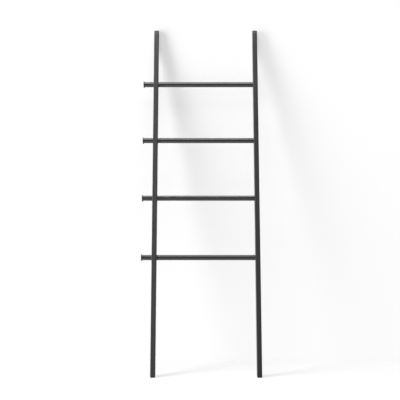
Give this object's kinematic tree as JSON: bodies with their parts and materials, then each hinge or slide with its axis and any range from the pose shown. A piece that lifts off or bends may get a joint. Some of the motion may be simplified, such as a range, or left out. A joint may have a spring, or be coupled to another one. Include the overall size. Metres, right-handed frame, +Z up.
{
  "type": "blanket ladder",
  "caption": "Dark leaning blanket ladder: flat wooden rails, round steel rungs with disc end caps; one rail slides along the rungs to set the width.",
  "frame": {"origin": "on the floor, at the centre of the whole ladder's width and depth as it leans", "axes": "+X to the right as seen from the front, +Y back to the wall, +Z up; the rungs run along X and the rails lean back towards +Y"},
  "size_m": [0.563, 0.383, 1.661],
  "materials": {
    "painted_wood": "charcoal paint, matt, over solid wood",
    "coated_steel": "black powder coat, satin",
    "cap_coat": "black powder coat, satin, turned disc",
    "plug_steel": "zinc plated",
    "bolt_steel": "black oxide",
    "bush_plastic": "black nylon",
    "foot_rubber": "matt black rubber",
    "bumper_rubber": "matt black rubber"
  },
  "bodies": {
    "fixed_frame": {"right_rail": "painted_wood", "right_foot_pad": "foot_rubber", "right_wall_bumper": "bumper_rubber", "rung_1": "coated_steel", "end_cap_1": "cap_coat", "rung_bolt_1": "bolt_steel", "rung_2": "coated_steel", "end_cap_2": "cap_coat", "rung_bolt_2": "bolt_steel", "rung_3": "coated_steel", "end_cap_3": "cap_coat", "rung_bolt_3": "bolt_steel", "rung_4": "coated_steel", "end_cap_4": "cap_coat", "rung_bolt_4": "bolt_steel", "rung_inserts": "plug_steel"},
    "sliding_rail": {"left_rail": "painted_wood", "left_foot_pad": "foot_rubber", "left_wall_bumper": "bumper_rubber", "slide_bushes": "bush_plastic"}
  },
  "joints": [
    {"name": "width_slide", "type": "slide", "parent": "fixed_frame", "child": "sliding_rail", "axis": [1, 0, 0], "range_m": [-0.0447, 0.113]}
  ]
}
